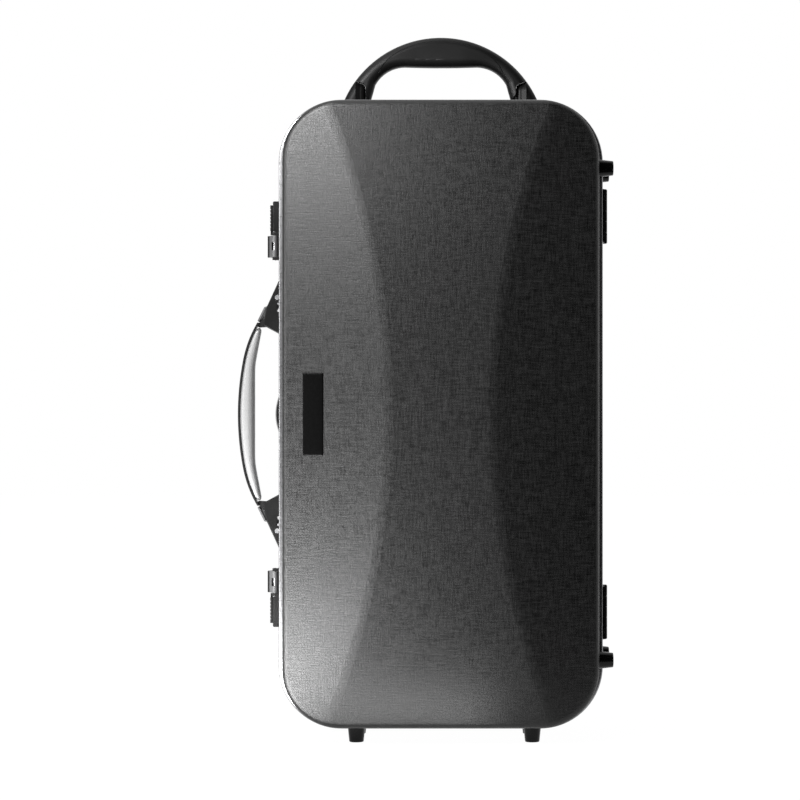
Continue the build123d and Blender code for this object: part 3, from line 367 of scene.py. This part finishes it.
def addRelief(tree, shader, height, depth, strength):
    bump = tree.nodes.new("ShaderNodeBump")
    bump.inputs["Distance"].default_value = depth
    bump.inputs["Strength"].default_value = strength
    tree.links.new(height, bump.inputs["Height"])
    tree.links.new(bump.outputs[0], shader.inputs["Normal"])


def addTones(tree, shader, tone, marks, span, f, tint=0.0):
    # The colour goes from dark to light with the tone, the roughness from low to high over the marks' span
    dark, light = grey(f["dark"], tint), grey(f["light"], tint)
    tree.links.new(colourMix(tree, tone, dark, light), shader.inputs["Base Color"])
    tree.links.new(rangeNode(tree, marks, *span, *f["rough"]), shader.inputs["Roughness"])


def wovenFinish(name, f):
    paint, tree, shader, place = startFinish(name, f)
    threads = groupNode(tree, weaveGroup, Vector=place, Pitch=f["pitch"], Streak=f["streak"])
    slow = mathNode(tree, "MULTIPLY", noiseNode(tree, place, f["slowSize"]), f["slowShare"])
    fine = mathNode(tree, "MULTIPLY", threads["Tone"], 1 - f["slowShare"])
    tone = mathNode(tree, "ADD", fine, slow)
    addTones(tree, shader, tone, threads["Tone"], (0.0, 1.0), f)
    addRelief(tree, shader, threads["Height"], f["depth"], f["relief"])
    return paint


def grainFinish(name, f):
    paint, tree, shader, place = startFinish(name, f)
    cells = groupNode(tree, grainGroup, Vector=place, Size=f["grain"])
    addTones(tree, shader, cells["Tone"], cells["Marks"], noiseSpan, f)
    addRelief(tree, shader, cells["Height"], f["depth"], f["relief"])
    return paint


def brushedFinish(name, f):
    paint, tree, shader, place = startFinish(name, f)
    lines = groupNode(tree, brushGroup, Vector=place, Stretch=f["stretch"])
    addTones(tree, shader, lines["Tone"], lines["Tone"], noiseSpan, f, metalTint)
    addRelief(tree, shader, lines["Height"], f["depth"], f["relief"])
    return paint


finishes = {
    "shellLinen": (wovenFinish, {
        "pitch": 0.0013, "streak": 0.011, "slowSize": 0.16, "slowShare": 0.2,
        "dark": 0.001, "light": 0.006, "rough": (0.32, 0.48),
        "depth": 0.0004, "relief": 0.36, "specular": 0.36,
    }),
    "rimAluminium": (brushedFinish, {
        "stretch": (300, 2500, 300), "dark": 0.19, "light": 0.25, "rough": (0.26, 0.36),
        "depth": 0.0001, "relief": 0.1, "metallic": 1.0,
    }),
    "blackMetal": (grainFinish, {
        "grain": 0.0005, "dark": 0.002, "light": 0.005, "rough": (0.28, 0.38),
        "depth": 0.0001, "relief": 0.14, "specular": 0.13,
    }),
    # Grey is the handle arms' own steel tone. On the hasps this grey is painted light: they are the lock
    # bodies' satin black, painted lighter to stand for their lit front faces
    "greyArmsAndPaintedLitHasps": (brushedFinish, {
        "stretch": (400, 400, 2600), "dark": 0.030, "light": 0.045, "rough": (0.34, 0.44),
        "depth": 0.0001, "relief": 0.1,
    }),
    "brightSteel": (brushedFinish, {
        "stretch": (2600, 400, 400), "dark": 0.52, "light": 0.66, "rough": (0.20, 0.32),
        "depth": 0.0001, "relief": 0.1, "metallic": 1.0,
    }),
    "mouldedRubber": (grainFinish, {
        "grain": 0.0007, "dark": 0.002, "light": 0.004, "rough": (0.16, 0.24),
        "depth": 0.0001, "relief": 0.08, "specular": 0.16,
    }),
    "glossRest": (grainFinish, {
        "grain": 0.0009, "dark": 0.002, "light": 0.004, "rough": (0.16, 0.24),
        "depth": 0.0001, "relief": 0.04,
    }),
    "handleBlack": (grainFinish, {
        "grain": 0.0006, "dark": 0.002, "light": 0.004, "rough": (0.37, 0.47),
        "depth": 0.0001, "relief": 0.03, "specular": 0.18,
    }),
    "postBlack": (grainFinish, {
        "grain": 0.0006, "dark": 0.002, "light": 0.004, "rough": (0.40, 0.50),
        "depth": 0.0001, "relief": 0.08, "specular": 0.10,
    }),
    "gripSilver": (grainFinish, {
        "grain": 0.0006, "dark": 0.13, "light": 0.16, "rough": (0.36, 0.46),
        "depth": 0.0001, "relief": 0.08, "metallic": 0.3,
    }),
    "badgeGloss": (grainFinish, {
        "grain": 0.0009, "dark": 0.001, "light": 0.002, "rough": (0.10, 0.16),
        "depth": 0.0001, "relief": 0.02, "specular": 0.02,
    }),
    "plushLining": (grainFinish, {
        "grain": 0.0009, "dark": 0.006, "light": 0.020, "rough": (0.85, 0.98),
        "depth": 0.0006, "relief": 0.7, "sheen": 0.12, "specular": 0.15,
    }),
    "pipingCord": (grainFinish, {
        "grain": 0.0007, "dark": 0.004, "light": 0.010, "rough": (0.50, 0.64),
        "depth": 0.0002, "relief": 0.5, "specular": 0.3,
    }),
}
paints = {name: make(name, values) for name, (make, values) in finishes.items()}

nodeFinish = {
    "shellLinen": ["lid_shell", "base_shell"],
    "rimAluminium": ["lid_rim", "base_rim"],
    "mouldedRubber": ["seal_gasket", "lid_end_feet", "lid_side_feet", "base_end_feet", "base_side_feet"],
    "glossRest": ["handle_rest"],
    "handleBlack": ["handle_strap", "end_handle_spine", "end_handle_grip"],
    "postBlack": ["left_end_post", "right_end_post"],
    "gripSilver": ["handle_grip"],
    "plushLining": ["foam_tray", "lid_lining", "accessory_cover"],
    # The hasps' grey is painted light, a lit copy of the latches' satin black. The arms' grey is their own
    # tone
    "greyArmsAndPaintedLitHasps": ["upper_hasp", "lower_hasp", "upper_handle_arm", "lower_handle_arm"],
    "blackMetal": ["lid_hinge_rivets", "base_hinge_rivets"] + [
        half + part for half in ("upper_", "lower_")
        for part in ("hinge_base_leaf", "hinge_lid_leaf", "hinge_pin", "latch_plate", "lock_body",
                     "lock_slider", "hasp_cap", "handle_bracket")
    ],
}
painted = {node: finish for finish, names in nodeFinish.items() for node in names}
for name, obj in nodes.items():
    paint = paints[painted.get(name, "brightSteel")]
    if not obj.data.materials:
        obj.data.materials.append(paint)
    for index in range(len(obj.data.materials)):
        obj.data.materials[index] = paint
print("stage: finishes on the CAD nodes")

# Surfaces on a grid
mergeWithin = 1e-7  # joins the row that a closed cord repeats


def gridFaces(rows, columns, closed=False):
    # Quads between neighbouring points of a grid, the last column joined to the first when closed
    index = np.arange(rows * columns).reshape(rows, columns)
    if closed:
        index = np.concatenate([index, index[:, :1]], axis=1)
    corners = [index[:-1, :-1], index[:-1, 1:], index[1:, 1:], index[1:, :-1]]
    return np.stack(corners, axis=-1).reshape(-1, 4)


def newPiece(name, points, faces, finish, body):
    mesh = bpy.data.meshes.new(name)
    mesh.from_pydata(points.reshape(-1, 3), [], faces)
    work = bmesh.new()
    work.from_mesh(mesh)
    bmesh.ops.remove_doubles(work, verts=work.verts, dist=mergeWithin)
    bmesh.ops.recalc_face_normals(work, faces=work.faces)
    work.to_mesh(mesh)
    work.free()
    mesh.polygons.foreach_set("use_smooth", np.ones(len(mesh.polygons), bool))
    mesh.materials.append(paints[finish])
    obj = bpy.data.objects.new(name, mesh)
    scene.collection.objects.link(obj)
    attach(obj, body)
    return obj


# Badge: a domed plate on the lid's left panel
badge = {
    "middleX": -0.1316,
    "middleZ": midZ - 0.0002,
    "width": 0.0216,
    "height": 0.0847,
    "corner": 0.0012,
    "perCorner": 10,
    "thickness": 0.0011,
    "dome": 0.0007,
    "panelSlope": 0.20,
    "panelPeak": 0.0906,  # where the side panel's plane would meet the middle
    "ringShrink": (0, 0, 0.03, 0.08, 0.2, 0.45, 0.75, 0.999),  # share of the way to the middle
    "ringLift": (-0.3, 0.6, 0.92, 1, 1, 1, 1, 1),  # share of the thickness
}


def roundedOutline(width, height, corner, perCorner):
    # Rounded rectangle as one closed row of points, from four quarter turns
    turns = np.linspace(0, np.pi / 2, perCorner)
    quarters = []
    for quarter, (sx, sz) in enumerate(((1, 1), (-1, 1), (-1, -1), (1, -1))):
        angle = turns + quarter * np.pi / 2
        quarters.append(np.stack([
            sx * (width / 2 - corner) + corner * np.cos(angle),
            sz * (height / 2 - corner) + corner * np.sin(angle),
        ], axis=-1))
    return np.concatenate(quarters)


def makeBadge(b):
    # Rings of the outline shrink to the middle and rise: an edge wall, a rounded rim, then a shallow dome
    outline = roundedOutline(b["width"], b["height"], b["corner"], b["perCorner"])
    shrink = np.array(b["ringShrink"])
    lift = b["thickness"] * np.array(b["ringLift"]) + b["dome"] * (1 - (1 - shrink) ** 2)
    across = outline[None, :, 0] * (1 - shrink[:, None])
    along = outline[None, :, 1] - np.sign(outline[None, :, 1]) * np.minimum(
        np.abs(outline[None, :, 1]), shrink[:, None] * b["width"] / 2)
    norm = np.hypot(1, b["panelSlope"])
    tangent = np.array([1, -b["panelSlope"], 0]) / norm
    outward = np.array([-b["panelSlope"], -1, 0]) / norm
    depth = b["panelPeak"] + b["panelSlope"] * b["middleX"]
    middle = np.array([b["middleX"], -depth, b["middleZ"]])
    points = (middle + across[..., None] * tangent + along[..., None] * np.array([0, 0, 1])
              + np.broadcast_to(lift[:, None, None], across.shape + (1,)) * outward)
    faces = gridFaces(*across.shape, closed=True)[:, ::-1].tolist()
    newPiece("badgePlate", points, faces, "badgeGloss", "lid")


makeBadge(badge)
print("stage: badge plate")

# Side handle's grip: a rounded sleeve that fills the bow of the strap
grip = {
    "place": (-0.170, 0.032, midZ),  # on the rim's outer face, at the handle's middle
    "half": 92.0,
    "endRound": 5.0,
    "endLeast": 0.02,  # share of the section that is left at the very end
    "rows": 160,
    "columns": 48,
    "bow": {"reach": 44.0, "flatRadius": 303.5, "flatEnd": 57.0,  # the middle arc
            "centreOut": -86.8, "centreHeight": 33.0, "endRadius": 127.7},  # the arc beyond it
    "inner": {"flat": 28.2, "turn": 52.0, "slope": 0.189, "soft": 3.0},  # straight, then leaning in
    "halfWidth": 12.0,
    "sideRadius": 942.7,
    "square": (2.9, 2.1),  # how square the section is, outside and inside
}


def gripSections(g):
    # Half thickness and half width follow the bow, and close as a quarter ellipse at each end
    height = g["half"] * np.sin(np.linspace(-np.pi / 2, np.pi / 2, g["rows"]))
    far = np.abs(height)
    bow, line = g["bow"], g["inner"]
    middleArc = bow["reach"] - bow["flatRadius"] + np.sqrt(bow["flatRadius"] ** 2 - height**2)
    endArc = bow["centreOut"] + np.sqrt(bow["endRadius"] ** 2 - (far - bow["centreHeight"]) ** 2)
    outer = np.where(far < bow["flatEnd"], middleArc, endArc)
    lean = line["slope"] * line["soft"] * np.log1p(np.exp((far - line["turn"]) / line["soft"]))
    halfWidth = g["halfWidth"] - g["sideRadius"] + np.sqrt(g["sideRadius"] ** 2 - height**2)
    past = np.clip((far - g["half"] + g["endRound"]) / g["endRound"], 0, 1)
    close = np.maximum(np.sqrt(1 - past**2), g["endLeast"])
    inner = line["flat"] - lean
    return height, (outer + inner) / 2, (outer - inner) / 2 * close, halfWidth * close


def makeGrip(g):
    # Each section is a superellipse, squarer on its outer side than on the case's side
    height, middle, thick, wide = gripSections(g)
    angle = np.linspace(0, 2 * np.pi, g["columns"], endpoint=False)
    power = 2 / np.where(np.cos(angle) > 0, *g["square"])
    across = np.sign(np.cos(angle)) * np.abs(np.cos(angle)) ** power
    along = np.sign(np.sin(angle)) * np.abs(np.sin(angle)) ** power
    x, y, z = g["place"]
    points = np.stack([
        x - mm * (middle[:, None] + thick[:, None] * across),
        y + mm * wide[:, None] * along,
        z + mm * np.repeat(height[:, None], len(angle), axis=1),
    ], axis=-1)
    last = g["columns"] * (g["rows"] - 1)
    faces = gridFaces(*points.shape[:2], closed=True).tolist()
    faces += [list(range(g["columns"])), list(range(last, last + g["columns"]))[::-1]]
    sleeve = newPiece("gripSleeve", points, faces, "gripSilver", "side_handle")
    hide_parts("handle_grip")


makeGrip(grip)

# Piping: a sewn cord round the edge of the tray and of the lid's lining
piping = {
    "width": 0.3140,
    "length": 0.6340,
    "corner": 0.0530,
    "radius": 0.0016,
    "rows": 10,
    "perCorner": 24,
    "edges": {"trayPiping": (0.0030, "base"), "liningPiping": (-0.0030, "lid")},  # (depth, body)
}


def makePiping(p):
    # A circle is carried round a rounded rectangle, along its outward direction and the depth axis
    outline = roundedOutline(p["width"], p["length"], p["corner"], p["perCorner"])
    ahead = np.roll(outline, -1, axis=0) - np.roll(outline, 1, axis=0)
    ahead /= np.linalg.norm(ahead, axis=1, keepdims=True)
    outward = np.stack([ahead[:, 1], -ahead[:, 0]], axis=-1)
    angle = np.linspace(0, 2 * np.pi, p["rows"], endpoint=False)[:, None]
    for name, (depth, body) in p["edges"].items():
        ring = outline + p["radius"] * np.cos(angle)[..., None] * outward
        points = np.stack([
            ring[..., 0],
            np.broadcast_to(depth + p["radius"] * np.sin(angle), ring.shape[:2]),
            midZ + ring[..., 1],
        ], axis=-1)
        points = np.concatenate([points, points[:1]])
        faces = gridFaces(*points.shape[:2], closed=True).tolist()
        newPiece(name, points, faces, "pipingCord", body)


makePiping(piping)
print("stage: grip and piping")

# Soft goods: each CAD form is remeshed a little smaller, then pressed full as cloth with its travel capped
softGoods = {
    "trayPlush": {
        "node": "foam_tray", "body": "base",
        "voxel": 0.004, "inset": 0.0008, "cap": 0.0022, "fill": 0.9,
    },
    "liningPlush": {
        "node": "lid_lining", "body": "lid",
        "voxel": 0.0045, "inset": 0.0008, "cap": 0.0026, "fill": 0.8,
    },
    "coverPlush": {
        "node": "accessory_cover", "body": "accessory_cover",
        "voxel": 0.0014, "inset": 0.0003, "cap": 0.0006, "fill": 0.9,
    },
}
evenMesh = {"mergeWithin": 1e-5, "relaxFactor": 0.5, "relaxRounds": 3}
clothRun = {"frames": 16, "quality": 4, "pressure": 4.0, "mass": 0.2, "stretch": 8.0, "bend": 0.4}


def pointsOf(mesh):
    points = np.empty(len(mesh.vertices) * 3)
    mesh.vertices.foreach_get("co", points)
    return points.reshape(-1, 3)


def setPoints(mesh, points):
    mesh.vertices.foreach_set("co", points.ravel())
    mesh.update()


def bakedMesh(obj):
    graph = bpy.context.evaluated_depsgraph_get()
    graph.update()
    return bpy.data.meshes.new_from_object(obj.evaluated_get(graph))


def softCopy(name, g):
    # The node's triangles are merged, remeshed in even squares, relaxed, and drawn in along their normals
    mesh = nodes[g["node"]].data.copy()
    work = bmesh.new()
    work.from_mesh(mesh)
    bmesh.ops.remove_doubles(work, verts=work.verts, dist=evenMesh["mergeWithin"])
    work.to_mesh(mesh)
    work.free()
    obj = bpy.data.objects.new(name, mesh)
    scene.collection.objects.link(obj)
    remesh = obj.modifiers.new("voxels", "REMESH")
    remesh.mode = "VOXEL"
    remesh.voxel_size = g["voxel"]
    remesh.use_smooth_shade = True
    relax = obj.modifiers.new("relax", "SMOOTH")
    relax.factor, relax.iterations = evenMesh["relaxFactor"], evenMesh["relaxRounds"]
    even = bakedMesh(obj)
    obj.modifiers.clear()
    obj.data = even
    points = pointsOf(even)
    normals = np.empty(len(even.vertices) * 3)
    even.vertices.foreach_get("normal", normals)
    setPoints(even, points - normals.reshape(-1, 3) * g["inset"])
    return obj


def pressFull(objects, c):
    # All the pads swell together under pressure, with no gravity, and no point moves further than its cap
    for obj in objects:
        cloth = obj.modifiers.new("pressure", "CLOTH")
        settings = cloth.settings
        settings.quality = c["quality"]
        settings.mass = c["mass"]
        settings.tension_stiffness = settings.compression_stiffness = c["stretch"]
        settings.bending_stiffness = c["bend"]
        settings.use_pressure = True
        settings.uniform_pressure_force = c["pressure"]
        settings.effector_weights.gravity = 0
        cloth.collision_settings.use_collision = False
        cloth.point_cache.frame_end = c["frames"]
    for index in range(1, c["frames"] + 1):
        scene.frame_set(index)
    for obj in objects:
        start = pointsOf(obj.data)
        swollen = pointsOf(bakedMesh(obj))
        obj.modifiers.clear()
        move = swollen - start
        length = np.maximum(np.linalg.norm(move, axis=1, keepdims=True), 1e-9)  # so it is never zero
        setPoints(obj.data, start + move * np.minimum(1, softGoods[obj.name]["cap"] / length))
    scene.frame_set(1)


def makeSoftGoods():
    pads = [softCopy(name, g) for name, g in softGoods.items()]
    pressFull(pads, clothRun)
    for pad in pads:
        g = softGoods[pad.name]
        pad.data.materials.clear()
        pad.data.materials.append(paints["plushLining"])
        pad.data.polygons.foreach_set("use_smooth", np.ones(len(pad.data.polygons), bool))
        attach(pad, g["body"])
        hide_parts(g["node"])
        print("stage:", pad.name, len(pad.data.polygons), "faces")


makeSoftGoods()
